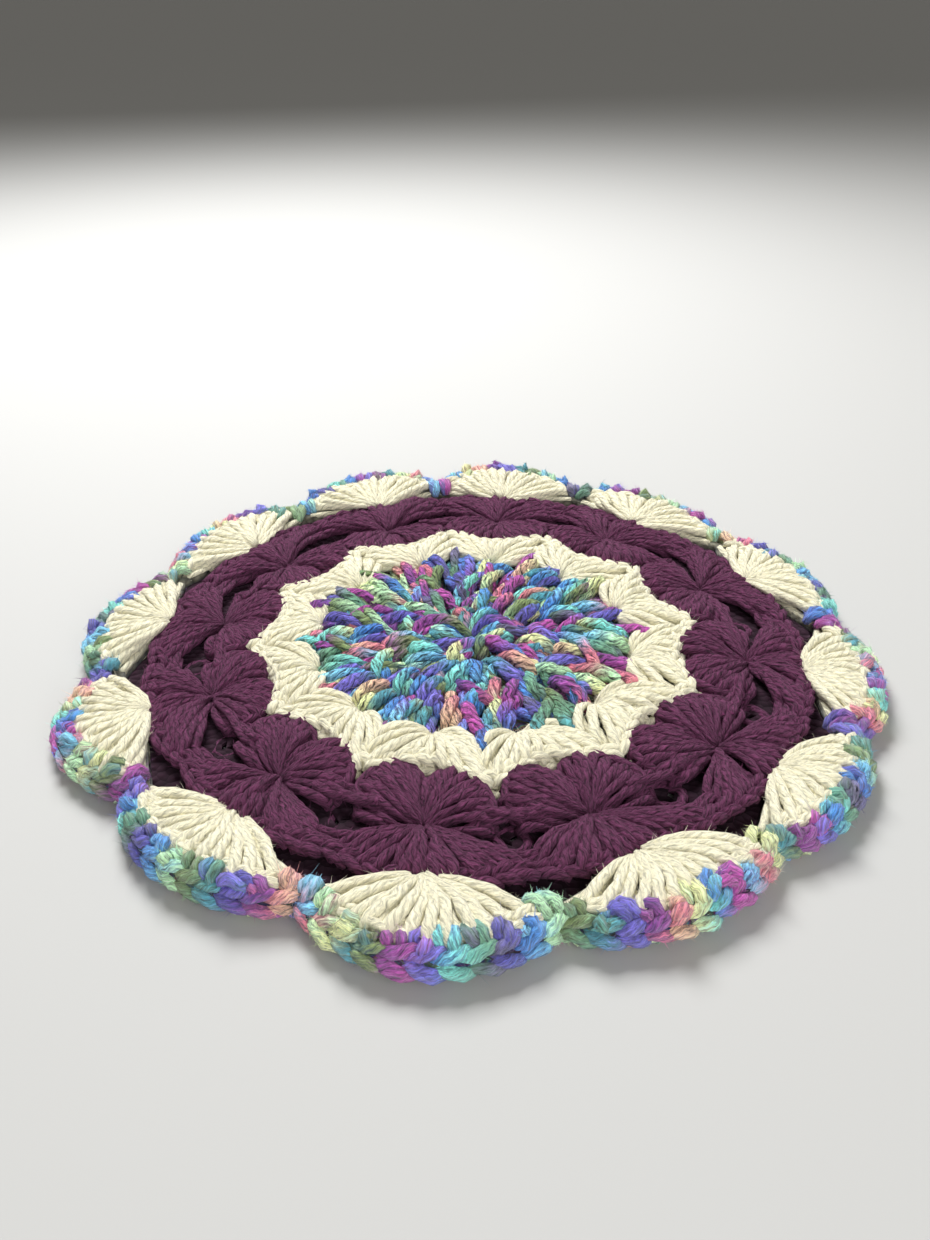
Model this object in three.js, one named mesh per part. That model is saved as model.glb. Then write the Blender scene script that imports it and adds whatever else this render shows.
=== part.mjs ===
// A round crocheted pot holder, worked outward from its middle in five rounds of yarn:
// a variegated rosette, a cream round of fans, a purple round of twelve wheels, a cream round
// of half-moon fans and a scalloped variegated edging. Lengths are in millimetres and +Z is
// up. The pad lies on z = 0 with the middle of its box on the z axis. Its rim stands a little
// off the surface, as a hand-worked edge does, and its middle lies flat.

import * as THREE from 'three';

const WHEELS = 12;
const FACETS = 8;
const FIRST_WHEEL_ANGLE = -99;
const GAP = 0.36;
const ROUND_YARN_ROUGHNESS = 0.95;

// The lines where one round of yarn ends: the radius in the middle of a wheel, how much
// further out the line lies between two wheels, and how sharply it turns there.
const ROSETTE_EDGE = { middle: 44.0, between: 8.5, power: 2.0 };
const INNER_CREAM_EDGE = { middle: 59.5, between: 7.5, power: 1.7 };
const WHEEL_EDGE = { middle: 93.0, between: 6.5, power: 1.8 };
const OUTER_CREAM_EDGE = { middle: 107.5, between: -5.5, power: 2.2 };
const RIM = { middle: 115.0, between: -7.5, power: 2.2 };

// The thickness of the pad against the distance from its middle.
const THICKNESS = [
  { radius: 0, height: 9.5 },
  { radius: 40, height: 9.0 },
  { radius: 60, height: 8.6 },
  { radius: 80, height: 8.2 },
  { radius: 95, height: 7.6 },
  { radius: 107, height: 7.0 },
  { radius: 115, height: 6.2 },
];

// How each wheel came out by hand, anticlockwise from wheel 0. The turns are degrees away
// from an even spacing, near the rosette, at the wheel and at the rim. Reach is the radius
// of the lobe's tip. The lifts are the height of the lobe, and of the notch after it, off
// the surface.
const WHEEL_TABLE = [
  { rosetteTurn: -3.6, wheelTurn: -1.0, rimTurn: 2.6, reach: 117.0, lobeLift: 1.5, notchLift: 0.5 },
  { rosetteTurn: -5.5, wheelTurn: -2.0, rimTurn: 2.4, reach: 113.5, lobeLift: 1.5, notchLift: 0.5 },
  { rosetteTurn: -5.5, wheelTurn: 0.0, rimTurn: 1.0, reach: 112.5, lobeLift: 1.5, notchLift: 0.5 },
  { rosetteTurn: -3.0, wheelTurn: 1.0, rimTurn: -2.0, reach: 113.0, lobeLift: 1.5, notchLift: 0.5 },
  { rosetteTurn: -1.7, wheelTurn: 1.5, rimTurn: -1.0, reach: 113.5, lobeLift: 2.0, notchLift: 1.0 },
  { rosetteTurn: 0.5, wheelTurn: 3.5, rimTurn: 1.2, reach: 113.0, lobeLift: 3.0, notchLift: 2.0 },
  { rosetteTurn: 1.0, wheelTurn: 3.5, rimTurn: 2.5, reach: 115.5, lobeLift: 6.0, notchLift: 3.0 },
  { rosetteTurn: 0.0, wheelTurn: 3.0, rimTurn: 1.0, reach: 115.5, lobeLift: 5.5, notchLift: 2.0 },
  { rosetteTurn: 0.0, wheelTurn: 3.5, rimTurn: 2.0, reach: 115.5, lobeLift: 3.0, notchLift: 1.0 },
  { rosetteTurn: -0.7, wheelTurn: 2.0, rimTurn: 4.2, reach: 115.5, lobeLift: 2.0, notchLift: 0.5 },
  { rosetteTurn: -0.9, wheelTurn: -1.0, rimTurn: 2.0, reach: 118.0, lobeLift: 1.5, notchLift: 0.5 },
  { rosetteTurn: -1.8, wheelTurn: -1.0, rimTurn: 1.5, reach: 114.5, lobeLift: 1.5, notchLift: 0.5 },
];

// The rosette sits a little to one side of the middle. The turns are read at these radii,
// and between them one changes smoothly into the next.
const ROSETTE_SHIFT = { x: -1.9, y: 0.4 };
const ROSETTE_TURN_RADIUS = 45;
const WHEEL_TURN_RADIUS = 76;
const RIM_TURN_RADIUS = 100;
const EVEN_REACH = 115;
const REACH_START_RADIUS = 70;
const LIFT_START_RADIUS = 85;
const LOBE_RADIUS = 114;
const LIFT_POWER = 1.5;

// The section of a ring-shaped round, once round it from its lower inner edge. Across is 0
// at the inner edge and 1 at the outer edge, and up is a share of the pad's thickness.
const RING_SECTION = [
  { across: 0.0, up: 0.12 },
  { across: 0.15, up: 0.0 },
  { across: 0.85, up: 0.0 },
  { across: 1.0, up: 0.12 },
  { across: 1.0, up: 0.78 },
  { across: 0.85, up: 0.96 },
  { across: 0.5, up: 1.0 },
  { across: 0.15, up: 0.96 },
  { across: 0.0, up: 0.78 },
];

// Half the section of the rosette, from the middle of its underside to the middle of its top.
const DISC_SECTION = [
  { across: 0.0, up: 0.0 },
  { across: 0.9, up: 0.0 },
  { across: 1.0, up: 0.12 },
  { across: 1.0, up: 0.78 },
  { across: 0.9, up: 0.95 },
  { across: 0.6, up: 0.98 },
  { across: 0.3, up: 1.0 },
  { across: 0.0, up: 1.0 },
];

// The value at place s of a column of the wheel table, on a smooth curve through its rows.
function tableValue(column, s) {
  const row = Math.floor(s);
  const t = s - row;
  const at = (offset) => WHEEL_TABLE[(row + offset + 2 * WHEELS) % WHEELS][column];
  const [a, b, c, d] = [at(-1), at(0), at(1), at(2)];
  const slope = c - a;
  const bend = 2 * a - 5 * b + 4 * c - d;
  const twist = 3 * b - a - 3 * c + d;
  return 0.5 * (2 * b + slope * t + bend * t * t + twist * t * t * t);
}

// How far place s is from the middle of its wheel: 0 there, and 1 between two wheels.
function awayFromWheel(s) {
  return 2 * Math.abs(s - Math.round(s));
}

function edgeRadius(edge, s) {
  return edge.middle + edge.between * awayFromWheel(s) ** edge.power;
}

function thicknessAt(radius) {
  const last = THICKNESS[THICKNESS.length - 1];
  const next = THICKNESS.findIndex((row) => row.radius > radius);
  if (next < 0) {
    return last.height;
  }
  const from = THICKNESS[next - 1];
  const to = THICKNESS[next];
  return THREE.MathUtils.mapLinear(radius, from.radius, to.radius, from.height, to.height);
}

function share(value, from, to) {
  return THREE.MathUtils.clamp((value - from) / (to - from), 0, 1);
}

// From the even pattern, where a point has a radius, a place s counted in wheels and a
// height, to the pad as it lies.
function lay(radius, s, height) {
  const towardsWheel = share(radius, ROSETTE_TURN_RADIUS, WHEEL_TURN_RADIUS);
  const towardsRim = share(radius, WHEEL_TURN_RADIUS, RIM_TURN_RADIUS);
  const innerTurn = THREE.MathUtils.lerp(
    tableValue('rosetteTurn', s), tableValue('wheelTurn', s), towardsWheel);
  const turn = THREE.MathUtils.lerp(innerTurn, tableValue('rimTurn', s), towardsRim);
  const angle = THREE.MathUtils.degToRad(FIRST_WHEEL_ANGLE + (360 / WHEELS) * s + turn);
  const lobe = 1 - awayFromWheel(s) ** 2;
  const stretch = (tableValue('reach', s) / EVEN_REACH - 1) * lobe;
  const reach = radius * (1 + stretch * share(radius, REACH_START_RADIUS, LOBE_RADIUS));
  const lift = tableValue('lobeLift', s) * lobe + tableValue('notchLift', s - 0.5) * (1 - lobe);
  const rise = lift * share(radius, LIFT_START_RADIUS, LOBE_RADIUS) ** LIFT_POWER;
  return new THREE.Vector3(
    reach * Math.cos(angle) + ROSETTE_SHIFT.x * (1 - towardsWheel),
    reach * Math.sin(angle) + ROSETTE_SHIFT.y * (1 - towardsWheel),
    height + rise,
  );
}

// Half the clearance between two rounds, measured along the radius at place s. It grows
// where the line between them runs steeply outward, so the true clearance stays the same.
function halfGap(edge, s) {
  const step = 1 / FACETS;
  const here = edgeRadius(edge, s);
  const run = here * THREE.MathUtils.degToRad(360 / WHEELS) * step;
  const before = Math.abs(edgeRadius(edge, s - step) - here) / run;
  const after = Math.abs(edgeRadius(edge, s + step) - here) / run;
  return (GAP / 2) * Math.hypot(1, Math.max(before, after));
}

// The point of a round at one place and one corner of its section. The round's innerEdge is
// null for the rosette, and its rim has no neighbour to keep clear of.
function sectionPoint(round, s, corner) {
  const outward = round.isRim ? 0 : halfGap(round.outerEdge, s);
  const outer = edgeRadius(round.outerEdge, s) - outward;
  const inner = round.innerEdge ? edgeRadius(round.innerEdge, s) + halfGap(round.innerEdge, s) : 0;
  const radius = THREE.MathUtils.lerp(inner, outer, corner.across);
  const dip = 1 - round.dip * awayFromWheel(s) ** 4;
  return lay(radius, s, thicknessAt(radius) * corner.up * dip);
}

function buildGeometry(points, triangles) {
  const geometry = new THREE.BufferGeometry();
  geometry.setAttribute('position', new THREE.Float32BufferAttribute(points, 3));
  geometry.setIndex(triangles);
  geometry.computeVertexNormals();
  return geometry;
}

// A ring-shaped round: its section carried once round the pad.
function ringGeometry(round) {
  const places = WHEELS * FACETS;
  const corners = RING_SECTION.length;
  const points = [];
  const triangles = [];
  for (let i = 0; i < places; i += 1) {
    for (let j = 0; j < corners; j += 1) {
      points.push(...sectionPoint(round, i / FACETS, RING_SECTION[j]).toArray());
      const a = i * corners + j;
      const b = i * corners + ((j + 1) % corners);
      const c = ((i + 1) % places) * corners + j;
      const d = ((i + 1) % places) * corners + ((j + 1) % corners);
      triangles.push(a, c, d, a, d, b);
    }
  }
  return buildGeometry(points, triangles);
}

// The rosette: a scalloped disc that closes at a point in the middle of its top and bottom.
function discGeometry(round) {
  const places = WHEELS * FACETS;
  const rows = DISC_SECTION.slice(1, -1);
  const bottom = places * rows.length;
  const top = bottom + 1;
  const points = [];
  const triangles = [];
  for (let i = 0; i < places; i += 1) {
    const here = i * rows.length;
    const next = ((i + 1) % places) * rows.length;
    rows.forEach((corner, j) => {
      points.push(...sectionPoint(round, i / FACETS, corner).toArray());
      if (j > 0) {
        triangles.push(here + j - 1, next + j - 1, next + j);
        triangles.push(here + j - 1, next + j, here + j);
      }
    });
    triangles.push(bottom, next, here);
    triangles.push(top, here + rows.length - 1, next + rows.length - 1);
  }
  points.push(...sectionPoint(round, 0, DISC_SECTION[0]).toArray());
  points.push(...sectionPoint(round, 0, DISC_SECTION[DISC_SECTION.length - 1]).toArray());
  return buildGeometry(points, triangles);
}

// Dip is the share of its thickness that a round loses between two wheels.
const ROUNDS = [
  { name: 'centre_rosette', innerEdge: null, outerEdge: ROSETTE_EDGE, dip: 0.05, color: 0x6a6c9c },
  { name: 'inner_cream_round', innerEdge: ROSETTE_EDGE, outerEdge: INNER_CREAM_EDGE, dip: 0.08,
    color: 0xe6dfcb },
  { name: 'purple_wheel_round', innerEdge: INNER_CREAM_EDGE, outerEdge: WHEEL_EDGE, dip: 0.22,
    color: 0x4a2348 },
  { name: 'outer_cream_round', innerEdge: WHEEL_EDGE, outerEdge: OUTER_CREAM_EDGE, dip: 0.15,
    color: 0xe6dfcb },
  { name: 'edging_round', innerEdge: OUTER_CREAM_EDGE, outerEdge: RIM, dip: 0.0, isRim: true,
    color: 0x6f7fae },
];

const pad = new THREE.Group();
for (const round of ROUNDS) {
  const geometry = round.innerEdge ? ringGeometry(round) : discGeometry(round);
  const material = new THREE.MeshStandardMaterial({
    color: round.color, roughness: ROUND_YARN_ROUGHNESS, metalness: 0 });
  const mesh = new THREE.Mesh(geometry, material);
  mesh.name = round.name;
  pad.add(mesh);
}

const box = new THREE.Box3().setFromObject(pad);
const middle = box.getCenter(new THREE.Vector3());
for (const mesh of pad.children) {
  mesh.position.set(-middle.x, -middle.y, 0);
}

export default pad;
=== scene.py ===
"""Dresses a round crocheted pot holder in real yarn.

The pad is worked outward in five rounds: a variegated rosette, cream fans, purple wheels,
cream half-moon fans and a variegated edging. Each round is a thin base cloth that carries its
stitches, and each stitch is a length of plied yarn. Stitches are placed in an even pattern,
in millimetres, and Layout lays that pattern out as the pad really lies.
"""

import logging
import math
from dataclasses import dataclass, field, replace
from enum import Enum
from typing import Optional

import bpy
import numpy as np
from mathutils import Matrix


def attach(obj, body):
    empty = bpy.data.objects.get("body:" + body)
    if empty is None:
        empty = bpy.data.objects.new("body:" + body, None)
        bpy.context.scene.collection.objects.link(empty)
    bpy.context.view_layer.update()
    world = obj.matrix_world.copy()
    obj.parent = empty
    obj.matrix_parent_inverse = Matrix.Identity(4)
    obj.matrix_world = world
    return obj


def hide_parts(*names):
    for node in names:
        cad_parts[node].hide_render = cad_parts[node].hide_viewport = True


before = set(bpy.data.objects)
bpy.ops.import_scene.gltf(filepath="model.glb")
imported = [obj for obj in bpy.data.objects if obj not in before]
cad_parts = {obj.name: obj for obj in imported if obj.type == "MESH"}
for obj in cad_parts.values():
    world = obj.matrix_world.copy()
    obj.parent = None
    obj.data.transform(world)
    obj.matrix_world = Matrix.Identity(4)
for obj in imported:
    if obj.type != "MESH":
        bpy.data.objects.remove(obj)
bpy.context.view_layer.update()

LOG = logging.getLogger("pot_holder")
MM = 0.001
SEED = 20
SHEET_LEAST = 0.0101

WHEELS = 12
SECTOR = 2 * math.pi / WHEELS
FACETS = 8

# How finely curves are worked out: between two controls, along a stitch, along a paired one.
CURVE_STEPS = 10
LAID_POINTS = 24
PAIR_POINTS = 9

# The yarn map counts centimetres along the yarn.
MAP_PER_MM = 0.1

Array = np.ndarray
Floats = tuple[float, ...]
Outline = tuple[tuple[float, float], ...]
Piece = bpy.types.Object
Socket = bpy.types.NodeSocket


class Face(Enum):
    """Which side of the pad a stitch shows on."""

    UPPER = "upper"
    UNDER = "under"


@dataclass(frozen=True)
class Edge:
    """The line where a round ends, as a radius that changes between two wheels."""

    middle: float
    between: float
    power: float

    def radius(self, s: Array) -> Array:
        """The radius in millimetres at place s, counted in wheels."""
        return self.middle + self.between * away_from_wheel(s) ** self.power


def away_from_wheel(s: Array) -> Array:
    """How far place s is from the middle of its wheel: 0 there, 1 between two wheels."""
    s = np.asarray(s, float)
    return 2 * np.abs(s - np.round(s))


ROSETTE_EDGE = Edge(44.0, 8.5, 2.0)
INNER_CREAM_EDGE = Edge(59.5, 7.5, 1.7)
WHEEL_EDGE = Edge(93.0, 6.5, 1.8)
OUTER_CREAM_EDGE = Edge(107.5, -5.5, 2.2)
RIM = Edge(115.0, -7.5, 2.2)


@dataclass(frozen=True)
class WheelRow:
    """How one wheel came out by hand: turns in degrees, reach and lifts in millimetres."""

    rosette_turn: float
    wheel_turn: float
    rim_turn: float
    reach: float
    lobe_lift: float
    notch_lift: float


WHEEL_TABLE = (
    WheelRow(-3.6, -1.0, 2.6, 117.0, 1.5, 0.5),
    WheelRow(-5.5, -2.0, 2.4, 113.5, 1.5, 0.5),
    WheelRow(-5.5, 0.0, 1.0, 112.5, 1.5, 0.5),
    WheelRow(-3.0, 1.0, -2.0, 113.0, 1.5, 0.5),
    WheelRow(-1.7, 1.5, -1.0, 113.5, 2.0, 1.0),
    WheelRow(0.5, 3.5, 1.2, 113.0, 3.0, 2.0),
    WheelRow(1.0, 3.5, 2.5, 115.5, 6.0, 3.0),
    WheelRow(0.0, 3.0, 1.0, 115.5, 5.5, 2.0),
    WheelRow(0.0, 3.5, 2.0, 115.5, 3.0, 1.0),
    WheelRow(-0.7, 2.0, 4.2, 115.5, 2.0, 0.5),
    WheelRow(-0.9, -1.0, 2.0, 118.0, 1.5, 0.5),
    WheelRow(-1.8, -1.0, 1.5, 114.5, 1.5, 0.5),
)


def curve_between(a: Array, b: Array, c: Array, d: Array, t: Array) -> Array:
    """A smooth curve from b to c at shares t of the way, with a before them and d after."""
    bend = (2 * a - 5 * b + 4 * c - d) * t**2
    return 0.5 * (2 * b + (c - a) * t + bend + (3 * b - a - 3 * c + d) * t**3)


def ramp(x: Array, start: float, end: float, top: float = 1.0) -> Array:
    """How far x has come from start to end, from 0 up to a top share."""
    return np.clip((x - start) / (end - start), 0, top)


@dataclass(frozen=True)
class Layout:
    """Carries the even pattern to the pad as it lies, uneven and with a lifted rim."""

    first_angle: float = math.radians(-99)
    shift: tuple[float, float] = (-1.9, 0.4)
    rosette_turn_radius: float = 45.0
    wheel_turn_radius: float = 76.0
    rim_turn_radius: float = 100.0
    even_reach: float = 115.0
    reach_start: float = 70.0
    lift_start: float = 85.0
    lobe_radius: float = 114.0
    lift_top: float = 1.1
    lift_power: float = 1.5
    thickness_radii: Floats = (0, 40, 60, 80, 95, 107, 115)
    thickness_heights: Floats = (9.5, 9.0, 8.6, 8.2, 7.6, 7.0, 6.2)

    def table(self, column: str, s: Array) -> Array:
        """A column of the wheel table, on a smooth curve through its rows.

        Args:
            column: the name of a field of WheelRow.
            s: places, counted in wheels.

        Returns:
            The column's values there.
        """
        values = np.array([getattr(row, column) for row in WHEEL_TABLE])
        row = np.floor(s).astype(int)
        near = [values[(row + step) % WHEELS] for step in (-1, 0, 1, 2)]
        return curve_between(*near, s - row)

    def thickness(self, radius: Array) -> Array:
        """The pad's thickness in millimetres at a distance from its middle."""
        return np.interp(radius, self.thickness_radii, self.thickness_heights)

    def lay(self, points: Array) -> Array:
        """Lays pattern points out as the pad lies.

        Args:
            points: x, y and height in the even pattern, in millimetres, in the last axis.
                Wheel 0 lies along +Y there, and the places count clockwise from it.

        Returns:
            The same points on the pad, in millimetres, about the pattern's own middle.
        """
        x, y, height = points[..., 0], points[..., 1], points[..., 2]
        radius = np.hypot(x, y)
        s = np.arctan2(x, y) / SECTOR
        to_wheel = ramp(radius, self.rosette_turn_radius, self.wheel_turn_radius)
        to_rim = ramp(radius, self.wheel_turn_radius, self.rim_turn_radius)
        turn = self.table("rosette_turn", s) * (1 - to_wheel) + self.table("wheel_turn", s) * to_wheel
        turn = turn * (1 - to_rim) + self.table("rim_turn", s) * to_rim
        angle = self.first_angle + s * SECTOR + np.radians(turn)
        lobe = 1 - away_from_wheel(s) ** 2
        stretch = (self.table("reach", s) / self.even_reach - 1) * lobe
        reach = radius * (1 + stretch * ramp(radius, self.reach_start, self.lobe_radius))
        lift = self.table("lobe_lift", s) * lobe + self.table("notch_lift", s - 0.5) * (1 - lobe)
        rise = ramp(radius, self.lift_start, self.lobe_radius, self.lift_top)
        return np.stack([
            reach * np.cos(angle) + self.shift[0] * (1 - to_wheel),
            reach * np.sin(angle) + self.shift[1] * (1 - to_wheel),
            height + lift * rise**self.lift_power,
        ], -1)

    def middle(self) -> Array:
        """The middle of the pad's outline, in millimetres, which is the frame's origin."""
        s = np.arange(WHEELS * FACETS) / FACETS
        outline = self.lay(polar(RIM.radius(s), s, 0 * s))
        return (outline.min(0) + outline.max(0)) / 2 * [1, 1, 0]


def polar(radius: Array, s: Array, height: Array) -> Array:
    """Pattern points from a radius, a place counted in wheels and a height."""
    return np.stack([radius * np.sin(s * SECTOR), radius * np.cos(s * SECTOR), height], -1)


def around(points: Array, wheel: Array) -> Array:
    """Turns points of wheel 0's own pattern to other wheels.

    Args:
        points: pattern points of wheel 0, of shape (..., 3).
        wheel: a number of wheels to turn each by, of a shape that fits the points'.

    Returns:
        The turned points.
    """
    angle = np.asarray(wheel) * SECTOR
    x = points[..., 0] * np.cos(angle) + points[..., 1] * np.sin(angle)
    y = points[..., 1] * np.cos(angle) - points[..., 0] * np.sin(angle)
    return np.stack([x, y, np.broadcast_to(points[..., 2], x.shape)], -1)


LAYOUT = Layout()
MIDDLE = LAYOUT.middle()
LEAST_HEIGHT = 1.1
STEEP = 0.9


def sunk(radius: Array, s: Array, depth: Array) -> Array:
    """Pattern points at a depth below the pad's upper surface, from a radius and a place."""
    return polar(radius, s, LAYOUT.thickness(radius) - depth)


def surface(points_xy: Array, depth: Array) -> Array:
    """Pattern points at a depth below the pad's upper surface, from their x and y."""
    height = LAYOUT.thickness(np.hypot(points_xy[..., 0], points_xy[..., 1])) - depth
    return np.concatenate([points_xy, np.maximum(height, LEAST_HEIGHT)[..., None]], -1)


def walked(lines: Array) -> Array:
    """How far along its line each point lies, for lines of shape (..., points, 3)."""
    steps = np.linalg.norm(np.diff(lines, axis=-2), axis=-1)
    return np.concatenate([np.zeros((*steps.shape[:-1], 1)), np.cumsum(steps, -1)], -1)


def point_at(line: Array, along: Array, where: Array) -> Array:
    """The points of a line at some lengths, when its own points lie at the lengths along."""
    return np.stack([np.interp(where, along, line[:, axis]) for axis in range(3)], -1)


def resampled(rows: Array, count: int) -> Array:
    """Rows of values, each spread evenly over another number of places."""
    even = np.linspace(0, rows.shape[1] - 1, count)
    return np.stack([np.interp(even, np.arange(rows.shape[1]), row) for row in rows])


def unit(vectors: Array) -> Array:
    """The same vectors at length 1."""
    return vectors / np.maximum(np.linalg.norm(vectors, axis=-1, keepdims=True), 1e-9)


def smooth(points: Array, count: int) -> Array:
    """Points spaced evenly along smooth curves through a few control points.

    Args:
        points: control points, of shape (curves, controls, 3).
        count: the number of points on each finished curve.

    Returns:
        An array of shape (curves, count, 3).
    """
    first = 2 * points[:, :1] - points[:, 1:2]
    last = 2 * points[:, -1:] - points[:, -2:-1]
    p = np.concatenate([first, points, last], 1)
    t = (np.arange(CURVE_STEPS) / CURVE_STEPS)[None, None, :, None]
    near = [p[:, i : p.shape[1] - 3 + i, None] for i in range(4)]
    curves = curve_between(*near, t).reshape(len(points), -1, 3)
    curves = np.concatenate([curves, points[:, -1:]], 1)
    return np.stack([
        point_at(curve, along, np.linspace(0, along[-1], count))
        for curve, along in zip(curves, walked(curves))])


def directions(lines: Array) -> tuple[Array, Array]:
    """The way ahead along each line, and a way sideways that doesn't twist round it.

    Args:
        lines: points, of shape (lines, points, 3).

    Returns:
        Two arrays of unit vectors of the same shape.
    """
    ahead = unit(np.gradient(lines, axis=1))
    side = np.empty_like(lines)
    way = np.zeros((len(lines), 3)) + [0.0, 0.0, 1.0]
    way[np.abs(ahead[:, 0, 2]) > STEEP] = [1.0, 0.0, 0.0]
    for i in range(lines.shape[1]):
        way = unit(way - (way * ahead[:, i]).sum(-1, keepdims=True) * ahead[:, i])
        side[:, i] = way
    return ahead, side


@dataclass(frozen=True)
class Yarn:
    """How a yarn is meshed and how its loose fibres stand, in millimetres.

    Its roughness, its round ends and its fibres' roots are shares of its radius, and it clears
    the floor by some times its roughness. A fibre leans outward, along the yarn and anywhere, by
    the three shares of fibre_lean, and fibre_length is a gamma distribution's shape and scale.
    """

    sides: int = 6
    step: float = 1.5
    rough: float = 0.09
    clearance: float = 3.0
    round_end: float = 0.35
    least_steps: int = 5
    fibre_root: float = 0.85
    fibre_slide: float = 0.6
    fibre_lean: tuple[float, float, float] = (0.5, 0.75, 0.55)
    fibre_length: tuple[float, float] = (4.0, 0.33)
    fibre_radius: tuple[float, float] = (0.035, 0.065)
    fibre_lowest: float = -0.5
    fibre_floor: float = 0.15
    fibre_turn: float = 0.1


@dataclass
class YarnMesh:
    """Gathers lengths of plied yarn and loose fibres, and makes one mesh of them."""

    yarn: Yarn
    rng: np.random.Generator
    points: list[Array] = field(default_factory=list)
    quads: list[Array] = field(default_factory=list)
    triangles: list[Array] = field(default_factory=list)
    quad_maps: list[Array] = field(default_factory=list)
    triangle_maps: list[Array] = field(default_factory=list)
    used: int = 0

    def add_strands(self, controls: Array, radii: Array, runs: Array, step: Optional[float],
                    fibres: float) -> None:
        """Adds lengths of yarn along smooth curves.

        Args:
            controls: pattern points, of shape (strands, controls, 3), in millimetres.
            radii: the yarn's radius in millimetres at places spaced evenly along each strand,
                of shape (strands, any number).
            runs: where on the ball each strand starts, in millimetres.
            step: the length of a mesh step, or None for the yarn's own.
            fibres: loose fibres to raise, for each millimetre of yarn.
        """
        yarn = self.yarn
        laid = LAYOUT.lay(smooth(controls, LAID_POINTS)) - MIDDLE
        length = walked(laid)[:, -1].mean()
        count = max(yarn.least_steps, int(round(length / (step or yarn.step))) + 1)
        lines = smooth(laid, count)
        width = resampled(radii, count)
        lines[..., 2] = np.maximum(lines[..., 2], width * (1 + yarn.clearance * yarn.rough))
        ahead, side = directions(lines)
        up = np.cross(ahead, side)
        angle = np.arange(yarn.sides) * (2 * math.pi / yarn.sides)
        out = np.cos(angle)[:, None] * side[:, :, None] + np.sin(angle)[:, None] * up[:, :, None]
        uneven = 1 + self.rng.normal(0, yarn.rough, out.shape[:3])
        rings = lines[:, :, None] + out * (width[:, :, None] * uneven)[..., None]
        reach = width[:, :1] * yarn.round_end
        ends = np.stack([lines[:, 0] - ahead[:, 0] * reach, lines[:, -1] + ahead[:, -1] * reach], 1)
        run = walked(lines) + runs[:, None]
        self._store(rings, ends, run)
        if fibres:
            self._raise_fibres(lines, ahead, out, width, run, fibres)

    def _store(self, rings: Array, ends: Array, run: Array) -> None:
        """Stores tubes with a closing point at each end.

        Args:
            rings: the tubes' corners, of shape (strands, count, sides, 3).
            ends: the closing points, of shape (strands, 2, 3).
            run: millimetres along the ball, of shape (strands, count).
        """
        strands, count, sides, _ = rings.shape
        self.points += [rings.reshape(-1, 3), ends.reshape(-1, 3)]
        index = self.used + np.arange(strands * count * sides).reshape(strands, count, sides)
        turn = self.rng.uniform(0, 1, (strands, 1, 1)) + np.arange(sides) / sides
        quads = []
        maps = []
        for along, beside in ((0, 0), (0, 1), (1, 1), (1, 0)):
            rows = slice(along, count - 1 + along)
            quads.append(np.roll(index, -beside, 2)[:, rows])
            place = np.broadcast_arrays(run[:, rows, None], turn + beside / sides)
            maps.append(np.stack(place, -1))
        self.quads.append(np.stack(quads, -1).reshape(-1, 4))
        self.quad_maps.append(np.stack(maps, -2).reshape(-1, 4, 2))
        pole = self.used + index.size + np.arange(strands * 2).reshape(strands, 2)
        for end, order in ((0, (1, 0, 2)), (-1, (0, 1, 2))):
            ring = index[:, end]
            top = np.broadcast_to(pole[:, end, None], ring.shape)
            corners = (ring, np.roll(ring, -1, 1), top)
            self.triangles.append(np.stack([corners[i] for i in order], -1).reshape(-1, 3))
            flat = np.stack(np.broadcast_arrays(run[:, end, None], turn[:, 0]), -1)
            self.triangle_maps.append(np.repeat(flat.reshape(-1, 1, 2), 3, 1))
        self.used += index.size + strands * 2

    def _raise_fibres(self, lines: Array, ahead: Array, out: Array, width: Array, run: Array,
                      density: float) -> None:
        """Raises thin loose fibres off the upper and outer surface of the strands just added.

        Args:
            lines: the strands' middle points, of shape (strands, count, 3).
            ahead: the way along them there, of the same shape.
            out: the ways out to their corners, of shape (strands, count, sides, 3).
            width: their radius, of shape (strands, count).
            run: millimetres along the ball, of the same shape.
            density: the number of fibres for each millimetre.
        """
        rng = self.rng
        yarn = self.yarn
        strands, count, sides = out.shape[:3]
        total = int(walked(lines)[:, -1].sum() * density)
        strand = rng.integers(0, strands, total)
        place = rng.integers(1, count - 1, total)
        normal = out[strand, place, rng.integers(0, sides, total)]
        keep = normal[:, 2] > yarn.fibre_lowest
        strand, place, normal = strand[keep], place[keep], normal[keep]
        total = len(strand)
        along = ahead[strand, place]
        base = lines[strand, place] + normal * (width[strand, place] * yarn.fibre_root)[:, None]
        base = base + along * rng.uniform(-yarn.fibre_slide, yarn.fibre_slide, (total, 1))
        lean = along * rng.choice([-1.0, 1.0], (total, 1))
        loose = unit(rng.normal(size=(total, 3)))
        outward, onward, anywhere = yarn.fibre_lean
        way = unit(normal * outward + lean * onward + loose * anywhere)
        tip = base + way * rng.gamma(*yarn.fibre_length, total)[:, None]
        tip[:, 2] = np.maximum(tip[:, 2], yarn.fibre_floor)
        thick = rng.uniform(*yarn.fibre_radius, total)[:, None]
        across = unit(np.cross(way, loose))
        third = np.cross(way, across)
        corners = [
            base + (across * math.cos(turn) + third * math.sin(turn)) * thick
            for turn in (0.0, 2 * math.pi / 3, 4 * math.pi / 3)]
        self.points.append(np.stack([*corners, tip], 1).reshape(-1, 3))
        first = self.used + np.arange(total)[:, None] * 4
        place_map = np.stack([run[strand, place], np.full(total, yarn.fibre_turn)], -1)
        for corner in ((0, 1, 3), (1, 2, 3), (2, 0, 3)):
            self.triangles.append(first + np.array([corner]))
            self.triangle_maps.append(np.repeat(place_map[:, None], 3, 1))
        self.used += total * 4

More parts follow.
